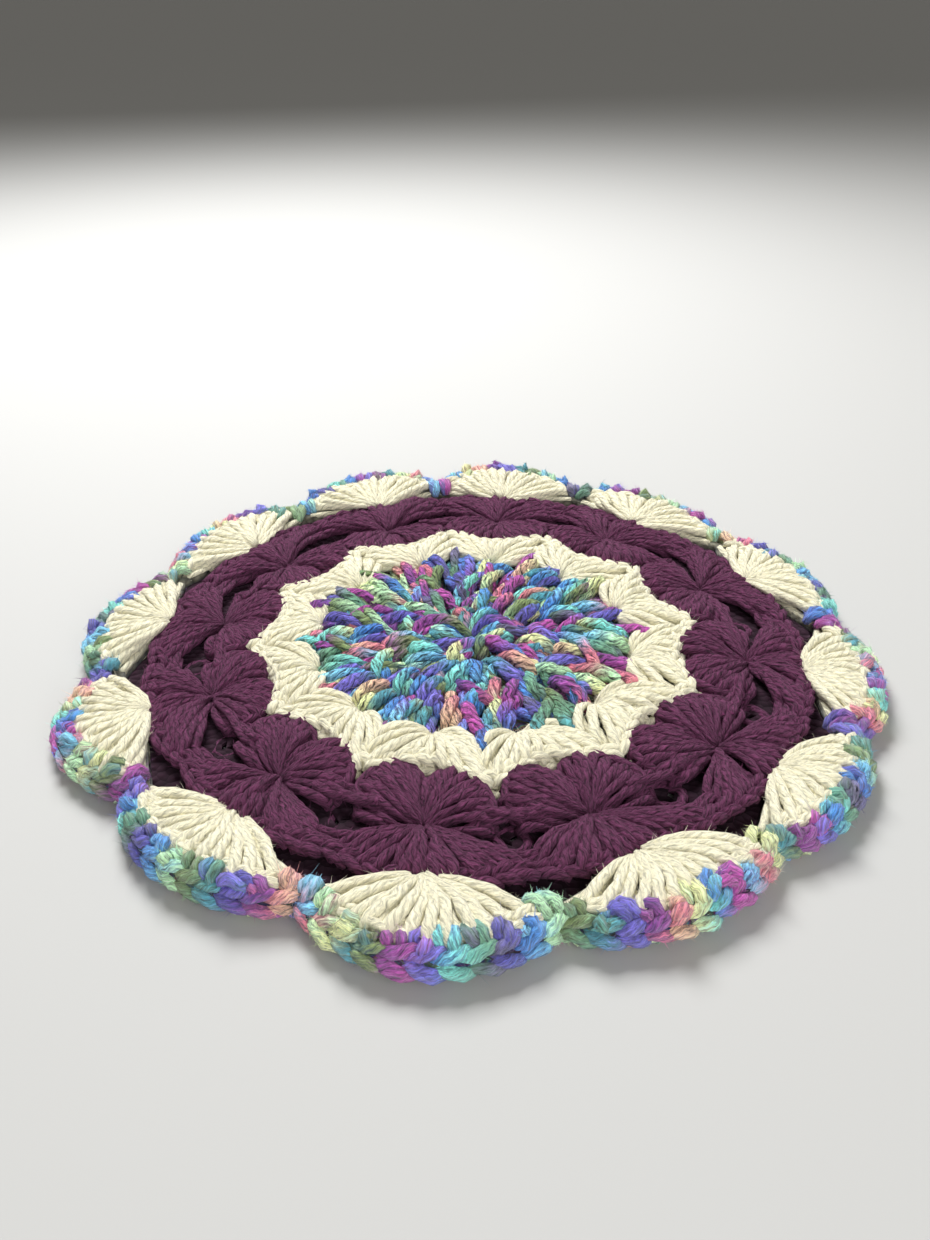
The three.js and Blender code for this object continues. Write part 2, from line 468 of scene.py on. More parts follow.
    def build(self, name: str, material: bpy.types.Material) -> Piece:
        """Makes the gathered yarn one object.

        Args:
            name: the piece's name.
            material: what it is made of.

        Returns:
            The new object, in metres, at the origin.
        """
        maps = np.concatenate([m.reshape(-1, 2) for m in self.quad_maps + self.triangle_maps])
        obj = mesh_object(
            name, np.concatenate(self.points),
            np.concatenate(self.quads), np.concatenate(self.triangles), maps)
        obj.data.materials.append(material)
        LOG.info("%s: %d triangles", name, sum(len(p.vertices) - 2 for p in obj.data.polygons))
        return obj


def mesh_object(name: str, points: Array, quads: Array, triangles: Array,
                maps: Optional[Array] = None) -> Piece:
    """Makes a smooth mesh object from arrays.

    Args:
        name: the object's name.
        points: its corners, in millimetres.
        quads: four corners a row.
        triangles: three corners a row.
        maps: for each face corner, the quads' first, millimetres along and turns around.

    Returns:
        The new object, in metres.
    """
    mesh = bpy.data.meshes.new(name)
    mesh.vertices.add(len(points))
    mesh.vertices.foreach_set("co", (points * MM).astype(np.float32).ravel())
    corners = np.concatenate([quads.ravel(), triangles.ravel()]).astype(np.int32)
    mesh.loops.add(len(corners))
    mesh.loops.foreach_set("vertex_index", corners)
    sizes = np.concatenate([np.full(len(quads), 4), np.full(len(triangles), 3)])
    starts = np.concatenate([[0], np.cumsum(sizes)[:-1]]).astype(np.int32)
    mesh.polygons.add(len(sizes))
    mesh.polygons.foreach_set("loop_start", starts)
    if maps is not None:
        layer = mesh.uv_layers.new(name="yarn")
        layer.data.foreach_set("uv", (maps * [MAP_PER_MM, 1.0]).astype(np.float32).ravel())
    mesh.update(calc_edges=True)
    mesh.validate()
    mesh.shade_smooth()
    obj = bpy.data.objects.new(name, mesh)
    bpy.context.scene.collection.objects.link(obj)
    return obj


class Nodes:
    """A short way to lay out the nodes of one material or group."""

    def __init__(self, tree: bpy.types.NodeTree) -> None:
        """Starts with an empty tree."""
        self.tree = tree
        tree.nodes.clear()

    def add(self, kind: str, feeds: Optional[dict] = None, **settings: object) -> bpy.types.Node:
        """Adds a node.

        Args:
            kind: its type.
            feeds: for its inputs, by name or number, a value or the output to join.
            settings: what else is set on it.

        Returns:
            The new node.
        """
        count = len(self.tree.nodes)
        node = self.tree.nodes.new(kind)
        node.location = (count % 8 * 220, -(count // 8) * 260)
        for name, value in settings.items():
            setattr(node, name, value)
        for name, value in (feeds or {}).items():
            if isinstance(value, Socket):
                self.tree.links.new(value, node.inputs[name])
            else:
                node.inputs[name].default_value = value
        return node

    def math(self, operation: str, *values: object) -> Socket:
        """The result of a math node on numbers or outputs."""
        return self.add("ShaderNodeMath", dict(enumerate(values)), operation=operation).outputs[0]

    def times(self, one: object, other: object) -> Socket:
        """One number or output times another."""
        return self.math("MULTIPLY", one, other)

    def plus(self, one: object, other: object) -> Socket:
        """One number or output plus another."""
        return self.math("ADD", one, other)

    def minus(self, one: object, other: object) -> Socket:
        """One number or output less another."""
        return self.math("SUBTRACT", one, other)


@dataclass(frozen=True)
class YarnFibres:
    """How the plies and fibres of any yarn wind: one turn a pitch, scales to a centimetre."""

    plies: int = 5
    pitch: float = 16.0
    wobble_scale: float = 2.6
    wobble: float = 1.4
    crest_power: float = 0.7
    scale_along: float = 4.5
    scale_across: float = 3.0
    detail: float = 4.0
    roughness: float = 0.75
    least_shade: float = 0.05
    fibre_height: float = 3.6

    def group(self) -> bpy.types.NodeTree:
        """Makes the shader group.

        Returns:
            The group, which gives a shade and a height at a length and a turn. The shade holds random
            tone and painted shade in the grooves between plies.
        """
        tree = bpy.data.node_groups.new("YarnFibres", "ShaderNodeTree")
        nodes = Nodes(tree)
        for name, start in (("Length", 0.0), ("Turn", 0.0), ("Contrast", 0.5), ("Painted Groove Shade", 0.5)):
            socket = tree.interface.new_socket(name, in_out="INPUT", socket_type="NodeSocketFloat")
            socket.default_value = start
        for name in ("Shade", "Height"):
            tree.interface.new_socket(name, in_out="OUTPUT", socket_type="NodeSocketFloat")
        given = nodes.add("NodeGroupInput").outputs
        along = given["Length"]
        wobble = nodes.add("ShaderNodeTexNoise", {"W": along, "Scale": self.wobble_scale},
                           noise_dimensions="1D")
        wound = nodes.plus(nodes.times(along, self.plies / (MAP_PER_MM * self.pitch)),
                           nodes.times(wobble.outputs["Fac"], self.wobble))
        ply = nodes.plus(nodes.times(given["Turn"], float(self.plies)), wound)
        crest = nodes.math("ABSOLUTE", nodes.math("SINE", nodes.times(ply, math.pi)))
        crest = nodes.math("POWER", crest, self.crest_power)
        place = nodes.add("ShaderNodeCombineXYZ", {
            0: nodes.times(along, self.scale_along), 1: nodes.times(ply, self.scale_across)})
        fine = nodes.add("ShaderNodeTexNoise", {
            "Vector": place.outputs[0], "Scale": 1.0, "Detail": self.detail,
            "Roughness": self.roughness}).outputs["Fac"]
        fleck = nodes.times(nodes.times(nodes.minus(fine, 0.5), 2.0), given["Contrast"])
        # Painted shade: the dye is darkened in the grooves between plies, so their crests read
        # lighter.
        painted_groove_shade = nodes.times(nodes.minus(1.0, crest), given["Painted Groove Shade"])
        shade = nodes.minus(nodes.plus(1.0, fleck), painted_groove_shade)
        nodes.add("NodeGroupOutput", {
            "Shade": nodes.math("MAXIMUM", shade, self.least_shade),
            "Height": nodes.plus(crest, nodes.times(fine, self.fibre_height))})
        return tree


@dataclass(frozen=True)
class Dye:
    """One colour on a space-dyed yarn, and where it begins, as a share of the repeat."""

    start: float
    color: tuple[float, float, float]


@dataclass(frozen=True)
class YarnFinish:
    """How one yarn looks. A plain yarn has one dye; a space-dyed one has a repeat.

    The repeat is in millimetres. The groove shade is painted shade in the grooves between plies.
    The gap shade is painted shade that darkens the base cloth so that its gaps look deep; it, the
    knots and the patches are those of the base cloth, scales are to a metre, and the bumps are depths
    in metres.
    """

    name: str
    dyes: tuple[Dye, ...]
    repeat: float = 300.0
    contrast: float = 0.9
    painted_groove_shade: float = 0.38
    sheen: float = 0.5
    sheen_tint: tuple[float, float, float] = (0.75, 0.78, 0.85)
    sheen_roughness: float = 0.6
    roughness: float = 0.9
    specular: float = 0.12
    bump: float = 0.8
    ply_bump: float = 0.0005
    bleed: float = 0.008
    # Painted shade on the base cloth, so that the gaps between stitches look deep.
    painted_gap_shade: float = 0.25
    knot_scale: float = 420.0
    knot_bump: float = 0.0012
    patch_scale: float = 75.0
    patch_spread: float = 3.0

    def material(self, fibres: bpy.types.NodeTree) -> bpy.types.Material:
        """Makes the yarn's material, which reads the yarn map.

        Args:
            fibres: the group that winds the plies.

        Returns:
            The material.
        """
        material, nodes = self._start(self.name)
        yarn_map = nodes.add("ShaderNodeUVMap", uv_map="yarn")
        along, turn, _ = nodes.add("ShaderNodeSeparateXYZ", {0: yarn_map.outputs[0]}).outputs
        shade, height = nodes.add("ShaderNodeGroup", {
            "Length": along, "Turn": turn, "Contrast": self.contrast, "Painted Groove Shade": self.painted_groove_shade,
        }, node_tree=fibres).outputs
        repeats = nodes.times(along, 1 / (MAP_PER_MM * self.repeat))
        place = nodes.plus(repeats, nodes.times(height, self.bleed))
        self._dress(nodes, place, shade, height, self.ply_bump)
        return material

    def deep(self) -> bpy.types.Material:
        """Makes the base cloth's material.

        Returns:
            The material: the same dyes, darkened by painted shade, in small knots.
        """
        material, nodes = self._start(self.name + "_painted_shade")
        spot = nodes.add("ShaderNodeTexCoord").outputs["Object"]
        knots = nodes.add("ShaderNodeTexVoronoi", {"Vector": spot, "Scale": self.knot_scale})
        patches = nodes.add("ShaderNodeTexNoise", {"Vector": spot, "Scale": self.patch_scale})
        rise = nodes.minus(1.0, knots.outputs["Distance"])
        place = nodes.times(patches.outputs["Fac"], self.patch_spread)
        # Painted shade: the cloth's dye is multiplied down so that it reads as shadow deep in the
        # gaps.
        self._dress(nodes, place, nodes.times(rise, self.painted_gap_shade), rise, self.knot_bump)
        return material

    def _start(self, name: str) -> tuple[bpy.types.Material, Nodes]:
        """Starts a material without its shader.

        Args:
            name: its name.

        Returns:
            The material and its empty nodes.
        """
        material = bpy.data.materials.new(name)
        material.use_nodes = True
        return material, Nodes(material.node_tree)

    def _dress(self, nodes: Nodes, place: Socket, shade: Socket, height: Socket,
               distance: float) -> None:
        """Adds the shader: the dye at a place, multiplied by its tone and painted shade, embossed,
        rough and a little sheeny.

        Args:
            nodes: the material's nodes.
            place: where on the dyes it is, in repeats.
            shade: what the dye is multiplied by, which holds its tone and painted shade.
            height: the relief's height.
            distance: that height's scale, in metres.
        """
        grey = nodes.add("ShaderNodeCombineColor", {0: shade, 1: shade, 2: shade})
        tinted = nodes.add("ShaderNodeMix", {
            "Factor": 1.0, 6: self._color(nodes, place), 7: grey.outputs[0],
        }, data_type="RGBA", blend_type="MULTIPLY")
        relief = nodes.add("ShaderNodeBump", {
            "Strength": self.bump, "Distance": distance, "Height": height})
        shader = nodes.add("ShaderNodeBsdfPrincipled", {
            "Base Color": tinted.outputs[2],
            "Roughness": self.roughness,
            "Normal": relief.outputs[0],
            "Sheen Weight": self.sheen,
            "Sheen Roughness": self.sheen_roughness,
            "Sheen Tint": (*self.sheen_tint, 1.0),
            "Specular IOR Level": self.specular,
        })
        nodes.add("ShaderNodeOutputMaterial", {0: shader.outputs[0]})

    def _color(self, nodes: Nodes, place: Socket) -> object:
        """Gives the yarn's own colour.

        Args:
            nodes: the material's nodes.
            place: where on the dyes it is, in repeats.

        Returns:
            A plain yarn's colour, or an output that gives a space-dyed yarn's at the place.
        """
        if len(self.dyes) == 1:
            return (*self.dyes[0].color, 1.0)
        dyed = nodes.add("ShaderNodeValToRGB", {0: nodes.math("FRACT", place)})
        dyed.color_ramp.interpolation = "EASE"
        stops = dyed.color_ramp.elements
        while len(stops) > 1:
            stops.remove(stops[-1])
        for i, dye in enumerate(self.dyes):
            stop = stops.new(dye.start) if i else stops[0]
            stop.position = dye.start
            stop.color = (*dye.color, 1.0)
        return dyed.outputs[0]


def srgb(*screen: int) -> tuple[float, ...]:
    """A colour given as on a screen, made linear."""
    shares = [value / 255 for value in screen]
    return tuple(v / 12.92 if v <= 0.04045 else ((v + 0.055) / 1.055) ** 2.4 for v in shares)


VIOLET = srgb(130, 118, 222)
INDIGO = srgb(98, 92, 188)
BLUE = srgb(80, 146, 226)
SKY = srgb(134, 212, 246)
TEAL = srgb(86, 166, 184)
TURQUOISE = srgb(140, 236, 224)
MINT = srgb(200, 248, 198)
YELLOW = srgb(242, 248, 180)
OLIVE = srgb(134, 154, 98)
SAGE = srgb(112, 164, 132)
SMOKE = srgb(118, 112, 146)
PLUM = srgb(152, 74, 160)
MAGENTA = srgb(194, 84, 174)
PINK = srgb(234, 130, 152)
PEACH = srgb(242, 198, 168)

DYE_ORDER = (
    VIOLET, SKY, PINK, MINT, YELLOW, TEAL, OLIVE, PLUM, MAGENTA, VIOLET, BLUE, TURQUOISE, SAGE,
    SMOKE, INDIGO, BLUE, SKY, MINT, OLIVE, SAGE, TEAL, VIOLET, INDIGO, PLUM, PINK, PEACH, YELLOW,
    TURQUOISE, BLUE, MAGENTA)
VARIEGATED_DYES = tuple(Dye(i / len(DYE_ORDER), color) for i, color in enumerate(DYE_ORDER))
VARIEGATED = YarnFinish("variegated_yarn", VARIEGATED_DYES, repeat=290.0, contrast=2.4,
                        painted_groove_shade=0.25, sheen=0.45)
# The rosette's yarn is a shaded copy of the edging's: deeper painted groove shade darkens it, with
# more random tone and less sheen.
CENTRE = replace(VARIEGATED, name="variegated_centre_yarn", contrast=3.0, painted_groove_shade=0.75, sheen=0.2)
CREAM = YarnFinish("cream_yarn_plies", (Dye(0.0, srgb(243, 237, 206)),), painted_groove_shade=0.34,
                   contrast=1.1, bump=0.6, sheen=0.3, painted_gap_shade=0.36)
PURPLE = YarnFinish("purple_yarn_plies", (Dye(0.0, srgb(99, 49, 80)),), painted_groove_shade=0.6, contrast=2.8,
                    sheen=0.2, sheen_tint=(0.5, 0.28, 0.42), painted_gap_shade=0.14)


@dataclass(frozen=True)
class BaseCloth:
    """The thin cloth of one round that carries its stitches: a closed sheet with openings."""

    name: str
    inner: Optional[Edge]
    outer: Edge
    low: float
    high: float
    inset: float = 0.8
    rows: int = 8
    places: int = 192
    middle_hole: float = 1.2

    def build(self, material: bpy.types.Material, opened: "Round") -> Piece:
        """Makes the sheet.

        Args:
            material: what it is made of.
            opened: the round, which says where its cloth is open.

        Returns:
            The new sheet.
        """
        s = np.arange(self.places) / self.places * WHEELS
        share = np.linspace(0, 1, self.rows + 1)[:, None]
        first = self.inner.radius(s) + self.inset if self.inner else self.middle_hole + 0 * s
        radius = first * (1 - share) + (self.outer.radius(s) - self.inset) * share
        place = np.broadcast_to(s, radius.shape)
        sides = [polar(radius, place, np.full(radius.shape, z)) for z in (self.low, self.high)]
        points = LAYOUT.lay(np.stack(sides).reshape(-1, 3)) - MIDDLE
        half_place = 0.5 * WHEELS / self.places
        shown = ~opened.is_open((radius[:-1] + radius[1:]) / 2, place[:-1] + half_place)
        lift = radius.size
        index = np.arange(lift).reshape(radius.shape)
        a, d = index[:-1], index[1:]
        b, c = np.roll(a, -1, 1), np.roll(d, -1, 1)
        quads = [np.stack([a, b, c, d], -1)[shown], np.stack([a, d, c, b], -1)[shown] + lift]
        none = np.zeros((1, self.places), bool)
        walls = (
            (np.concatenate([none, shown[:-1]]), b, a),
            (np.concatenate([shown[1:], none]), d, c),
            (np.roll(shown, 1, 1), a, d),
            (np.roll(shown, -1, 1), c, b),
        )
        for beside, one, two in walls:
            quads.append(np.stack([one, two, two + lift, one + lift], -1)[shown & ~beside])
        used, faces = np.unique(np.concatenate(quads), return_inverse=True)
        obj = mesh_object(self.name, points[used], faces.reshape(-1, 4), np.zeros((0, 3), int))
        obj.data.materials.append(material)
        return obj


# How a strand strays along x, y and height: by itself, with its group of posts, and in bends.
STRAY_ALONE = (1.0, 1.0, 0.6)
STRAY_GROUPED = (1.2, 1.2, 1.8)
STRAY_BENT = (0.5, 0.5, 0.25)
GROUP = 3
PAIR_HEIGHT = 0.8


def all_round(points: Array, rng: np.random.Generator, wander: float = 0.25,
              posts: int = 0) -> Array:
    """Repeats one wheel's strands at every wheel, each a little uneven.

    Args:
        points: strands of wheel 0, of shape (strands, controls, 3), in millimetres.
        rng: what makes them uneven.
        wander: how far a strand strays from its place, in millimetres.
        posts: the number of posts that the strands make, which then stray in groups too.

    Returns:
        An array of shape (strands of all wheels, controls, 3).
    """
    turned = around(points[None], np.arange(WHEELS)[:, None, None])
    whole = rng.normal(0, wander, (WHEELS, len(points), 1, 3)) * STRAY_ALONE
    if posts:
        group = np.arange(len(points)) % posts // GROUP
        whole = whole + (rng.normal(0, wander, (WHEELS, posts, 1, 3)) * STRAY_GROUPED)[:, group]
    bends = rng.normal(0, wander, turned.shape) * STRAY_BENT
    return (turned + whole + bends).reshape(-1, *points.shape[1:])


@dataclass(frozen=True)
class Strand:
    """A strand's radius in millimetres, and its profile from start to end in shares of that."""

    radius: float
    profile: Floats


@dataclass(frozen=True)
class Stitch(Strand):
    """Two strands that lie side by side along a line and wind a little round it.

    Attributes:
        spread: how far a strand lies from the line, at places spaced evenly along it.
        turns: how many turns the two make round each other.
        start: the turn that they start with, where 0 is side by side.
    """

    spread: Floats
    turns: float = 0.0
    start: float = 0.0

    def along(self, lines: Array) -> Array:
        """Lays the stitch along lines.

        Args:
            lines: the lines, of shape (lines, controls, 3), in millimetres.

        Returns:
            Strands of shape (2 * lines, PAIR_POINTS, 3), the first ones before the second ones.
        """
        line = smooth(lines, PAIR_POINTS)
        ahead = unit(np.gradient(line, axis=1))
        flat = unit(np.stack([ahead[..., 1], -ahead[..., 0], 0 * ahead[..., 0]], -1))
        up = np.cross(flat, ahead)
        up = up * np.where(up[..., 2:] < 0, -1.0, 1.0)
        away = resampled(np.array([self.spread]), PAIR_POINTS)[..., None]
        turn = self.start + self.turns * np.linspace(0, 1, PAIR_POINTS)
        angle = 2 * math.pi * turn[None, :, None]
        offset = (np.cos(angle) * flat + np.sin(angle) * up * PAIR_HEIGHT) * away
        return np.concatenate([line + offset, line - offset])


def outline_of(half: Outline, count: int) -> Array:
    """Points spaced evenly along a smooth outline.

    Args:
        half: its left half, which ends on the wheel's own middle line.
        count: the number of points.

    Returns:
        The points' x and y, of shape (count, 2).
    """
    left = np.array(half)
    whole = np.concatenate([left, left[-2::-1] * [-1, 1]])
    return smooth(np.concatenate([whole, np.zeros((len(whole), 1))], 1)[None], count)[0, :, :2]


@dataclass(frozen=True)
class Course:
    """A line beside a round's edge, from one place to another, sizes in millimetres."""

    edge: Edge
    offset: float
    depth: float
    start: float = -0.5
    end: float = 0.5
    points: int = 11

    def line(self) -> Array:
        """The line's points."""
        s = np.linspace(self.start, self.end, self.points)
        return sunk(self.edge.radius(s) + self.offset, s, self.depth)


@dataclass(frozen=True)
class Chain(Strand):
    """A chain of V's along a line, sizes in millimetres.

    Attributes:
        stitches: the number of V's.
        half_width: how far the legs spread to each side.
        dip: how far a leg's ends go below its middle.
        wander: how far a leg strays from its place.
        tilt: how far the V's turn to face outward instead of up, in radians.
        overlap: how many stitches long each leg is.
        leg_spread: how far each control is to the side, as shares of half_width.
        leg_sink: how low it is, as shares of dip.
    """

    stitches: int
    half_width: float
    dip: float
    wander: float = 0.2
    tilt: float = 0.0
    overlap: float = 1.5
    leg_start: float = -0.15
    leg_places: Floats = (0.0, 0.35, 0.75, 1.0)
    leg_spread: Floats = (0.05, 0.45, 0.9, 1.0)
    leg_sink: Floats = (1.2, -0.1, 0.1, 1.3)
    look_ahead: float = 0.3

    def legs(self, line: Array) -> Array:
        """Works out the two rows of legs.

        Args:
            line: points along the chain's middle, of shape (points, 3), in millimetres.

        Returns:
            Strands of shape (2 * stitches, 4, 3).
        """
        along = walked(line)
        pitch = along[-1] / self.stitches
        starts = (np.arange(self.stitches) + self.leg_start) * pitch
        where = starts[:, None] + np.array(self.leg_places) * pitch * self.overlap
        centre = point_at(line, along, where)
        ahead = unit(point_at(line, along, where + self.look_ahead) - centre + 1e-6)
        out = np.stack([-ahead[..., 1], ahead[..., 0], 0 * ahead[..., 0]], -1)
        out = out * np.sign((out * centre * [1, 1, 0]).sum(-1, keepdims=True))
        up = np.array([0.0, 0.0, 1.0])
        sink = (np.array(self.leg_sink) * self.dip)[None, :, None]
        cos, sin = math.cos(self.tilt), math.sin(self.tilt)
        legs = []
        for side in (-1.0, 1.0):
            spread = (np.array(self.leg_spread) * self.half_width * side)[None, :, None]
            legs.append(centre + out * (spread * cos - sink * sin) - up * (spread * sin + sink * cos))
        return np.concatenate(legs)


SHARES = (0.04, 0.16, 0.42, 0.74, 0.95, 1.0)
UNDER_HEIGHTS = (2.8, 1.9, 1.35, 1.15, 1.3, 2.2)
POST_SPREAD = (0.15, 0.35, 0.7, 1.0, 1.1)
CREAM_PROFILE = (0.45, 0.7, 0.9, 1.0, 1.05, 0.85)
BACK_PROFILE = (0.55, 0.9, 1.0, 1.0, 0.95, 0.6)
BACK_POST = Stitch(1.15, BACK_PROFILE, POST_SPREAD)
POST_VARY = 0.08
CORD_PROFILE = (0.8, 1.0, 1.0, 0.8)
CORD_WANDER = 0.1


@dataclass(frozen=True)
class Fan:
    """A fan of posts that open from an eye, in wheel 0's pattern, sizes in millimetres.

    Attributes:
        eye: where the posts meet.
        half: the left half of the line that the posts end on.
        posts: their number.
        post: what each is like.
        depths: how deep a post lies below the upper surface at each of SHARES.
        bow: how far the outermost posts bow out of the fan.
        mound: how much deeper the posts lie at a mound's sides than on its crest.
        lobes: the number of mounds, with a cleft between each two.
        bow_power: how much more the outer posts bow than the inner ones.
        mound_power: how flat a mound's crest is.
    """

    eye: tuple[float, float]
    half: Outline
    posts: int
    post: Stitch
    depths: Floats
    bow: float = 0.0
    mound: float = 0.0
    lobes: int = 1
    bow_power: int = 3
    mound_power: float = 2.5

    def sink(self, count: int) -> Array:
        """How much deeper the fan lies than its crests, at places spaced evenly across it."""
        across = np.linspace(0, 1, count)
        return self.mound * np.abs(2 * (across * self.lobes % 1) - 1) ** self.mound_power

    def lines(self, heights: Optional[Floats] = None) -> Array:
        """The posts' middle lines, from the eye to the outline.

        Args:
            heights: the height at each of SHARES, or None for the fan's own depths.

        Returns:
            Lines of shape (posts, controls, 3).
        """
        ends = outline_of(self.half, 2 * self.posts + 1)[1::2]
        share = np.array(SHARES)[None, :, None]
        way = ends - np.array(self.eye)
        across = unit(np.stack([way[:, 1], -way[:, 0]], -1))
        outward = across * np.sign((across * (ends - ends.mean(0))).sum(-1, keepdims=True))
        side = np.abs(np.linspace(-1, 1, self.posts)) ** self.bow_power
        bowed = (outward * (self.bow * side)[:, None])[:, None]
        line = np.array(self.eye) + way[:, None] * share + bowed * 4 * share * (1 - share)
        lines = surface(line, np.array(self.depths) + self.sink(self.posts)[:, None])
        if heights:
            lines[..., 2] = np.array(heights)
        return lines


@dataclass
class Round:
    """What every round of the pad has: its node, its slot, its base cloth and its yarn.

    The ball is where its yarn has got to, and per_stitch and per_part are how much of it a stitch
    and one of its strands use, in millimetres, because a space-dyed yarn's colours follow it.
    """

    node: str
    slot: str
    cloth: BaseCloth
    material: bpy.types.Material
    cloth_material: bpy.types.Material
    rng: np.random.Generator
    yarn: Yarn = Yarn()
    under_yarn: Yarn = Yarn(sides=5, step=3.0)
    fibres: float = 2.9
    ball: float = 0.0
    per_stitch: float = 46.0
    per_part: float = 4.0
    stray_run: float = 2.0

    def stitches(self) -> list[Piece]:
        """Makes the pieces that are worked into the base cloth."""
        raise NotImplementedError(self.node)

    def is_open(self, radius: Array, s: Array) -> Array:
        """Where the base cloth is open, at radii and places: nowhere."""
        return np.zeros(radius.shape, bool)

    def build(self) -> None:
        """Makes the round: its base cloth and what it carries, held to the root, and hides the part;
        logs its flat size.
        """
        cloth = self.cloth.build(self.cloth_material, self)
        stitches = self.stitches()
        for piece in [cloth, *stitches]:
            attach(piece, "root")
        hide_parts(self.node)
        width, length, area = self.flat_size()
        LOG.info("%s: flat %.0f by %.0f mm", self.node, width / MM, length / MM)

    def flat_size(self) -> tuple[float, float, float]:
        """Works out the round's flat size.

        Returns:
            Its width, length and area in metres: a disc, or a strip joined in a ring.
        """
        s = np.linspace(0, 1, 101)
        outer = self.cloth.outer.radius(s).mean() * MM
        if self.cloth.inner is None:
            return 2 * outer, 2 * outer, math.pi * outer**2
        inner = self.cloth.inner.radius(s).mean() * MM
        width, length = outer - inner, math.pi * (outer + inner)
        return max(width, SHEET_LEAST), length, width * length

    def runs(self, strands: int, stitches: int) -> Array:
        """Where on the ball each strand starts: strand i and its twin belong to stitch i.

        Args:
            strands: the number of strands.
            stitches: the number of stitches that they make.

        Returns:
            Millimetres along the yarn, for each strand.
        """
        part, stitch = np.divmod(np.arange(strands), stitches)
        runs = self.ball + stitch * self.per_stitch + part * self.per_part
        self.ball += stitches * self.per_stitch
        return runs + self.rng.normal(0, self.stray_run, strands)

    def yarn_mesh(self, side: Face = Face.UPPER) -> YarnMesh:
        """A new empty mesh of this round's yarn, for one side of the pad."""
        return YarnMesh(self.yarn if side is Face.UPPER else self.under_yarn, self.rng)

    def work(self, mesh: YarnMesh, laid: Array, strand: Strand, fibres: float = 0.0,
             stitches: int = 0, vary: float = 0.06, step: Optional[float] = None) -> None:
        """Works strands of this round's yarn into a mesh.

        Args:
            mesh: where they go.
            laid: their controls in the pattern, of shape (strands, controls, 3).
            strand: how thick they are.
            fibres: loose fibres for each millimetre.
            stitches: the number of stitches that the strands make, or 0 for one each.
            vary: how much the strands' radii differ, as a share.
            step: the length of a mesh step, or None for the yarn's own.
        """
        uneven = 1 + self.rng.normal(0, vary, (len(laid), 1))
        radii = strand.radius * np.array(strand.profile) * uneven
        runs = self.runs(len(laid), stitches or len(laid))
        mesh.add_strands(laid, radii, runs, step, fibres)

    def work_fan(self, mesh: YarnMesh, fan: Fan, wander: float = 0.25) -> None:
        """Works a fan at every wheel into a mesh, where it may wander some millimetres."""
        laid = all_round(fan.post.along(fan.lines()), self.rng, wander, fan.posts)
        self.work(mesh, laid, fan.post, self.fibres, vary=POST_VARY)

    def work_cords(self, mesh: YarnMesh, lines: Array, radius: float) -> None:
        """Works a cord along wheel 0's lines, and at every wheel, to bear stitches' ends."""
        self.work(mesh, all_round(lines, self.rng, CORD_WANDER), Strand(radius, CORD_PROFILE))

    def work_chain(self, mesh: YarnMesh, chain: Chain, line: Array) -> None:
        """Works a chain of V's along wheel 0's line, and at every wheel."""
        self.work(mesh, all_round(chain.legs(line), self.rng, chain.wander), chain, self.fibres)

    def work_back(self, name: str, *fans: Fan) -> Piece:
        """Makes the fans as they show on the underside.

        Args:
            name: the piece's name.
            fans: the fans.

        Returns:
            The piece.
        """
        mesh = self.yarn_mesh(Face.UNDER)
        for fan in fans:
            posts = BACK_POST.along(fan.lines(UNDER_HEIGHTS))
            self.work(mesh, all_round(posts, self.rng), BACK_POST)
        return mesh.build(name, self.material)


@dataclass(frozen=True)
class Tier:
    """One ring of petals of the rosette, sizes in millimetres. The last ones reach its edge."""

    inner: float
    outer: Optional[float]
    petals: int
    strand: float
    depth: float

    def ends(self, place: Array, past: float = 0.0) -> Array:
        """The radii where petals at some places end: the tier's own, or a bit past the edge."""
        return np.full(len(place), self.outer) if self.outer else ROSETTE_EDGE.radius(place) + past


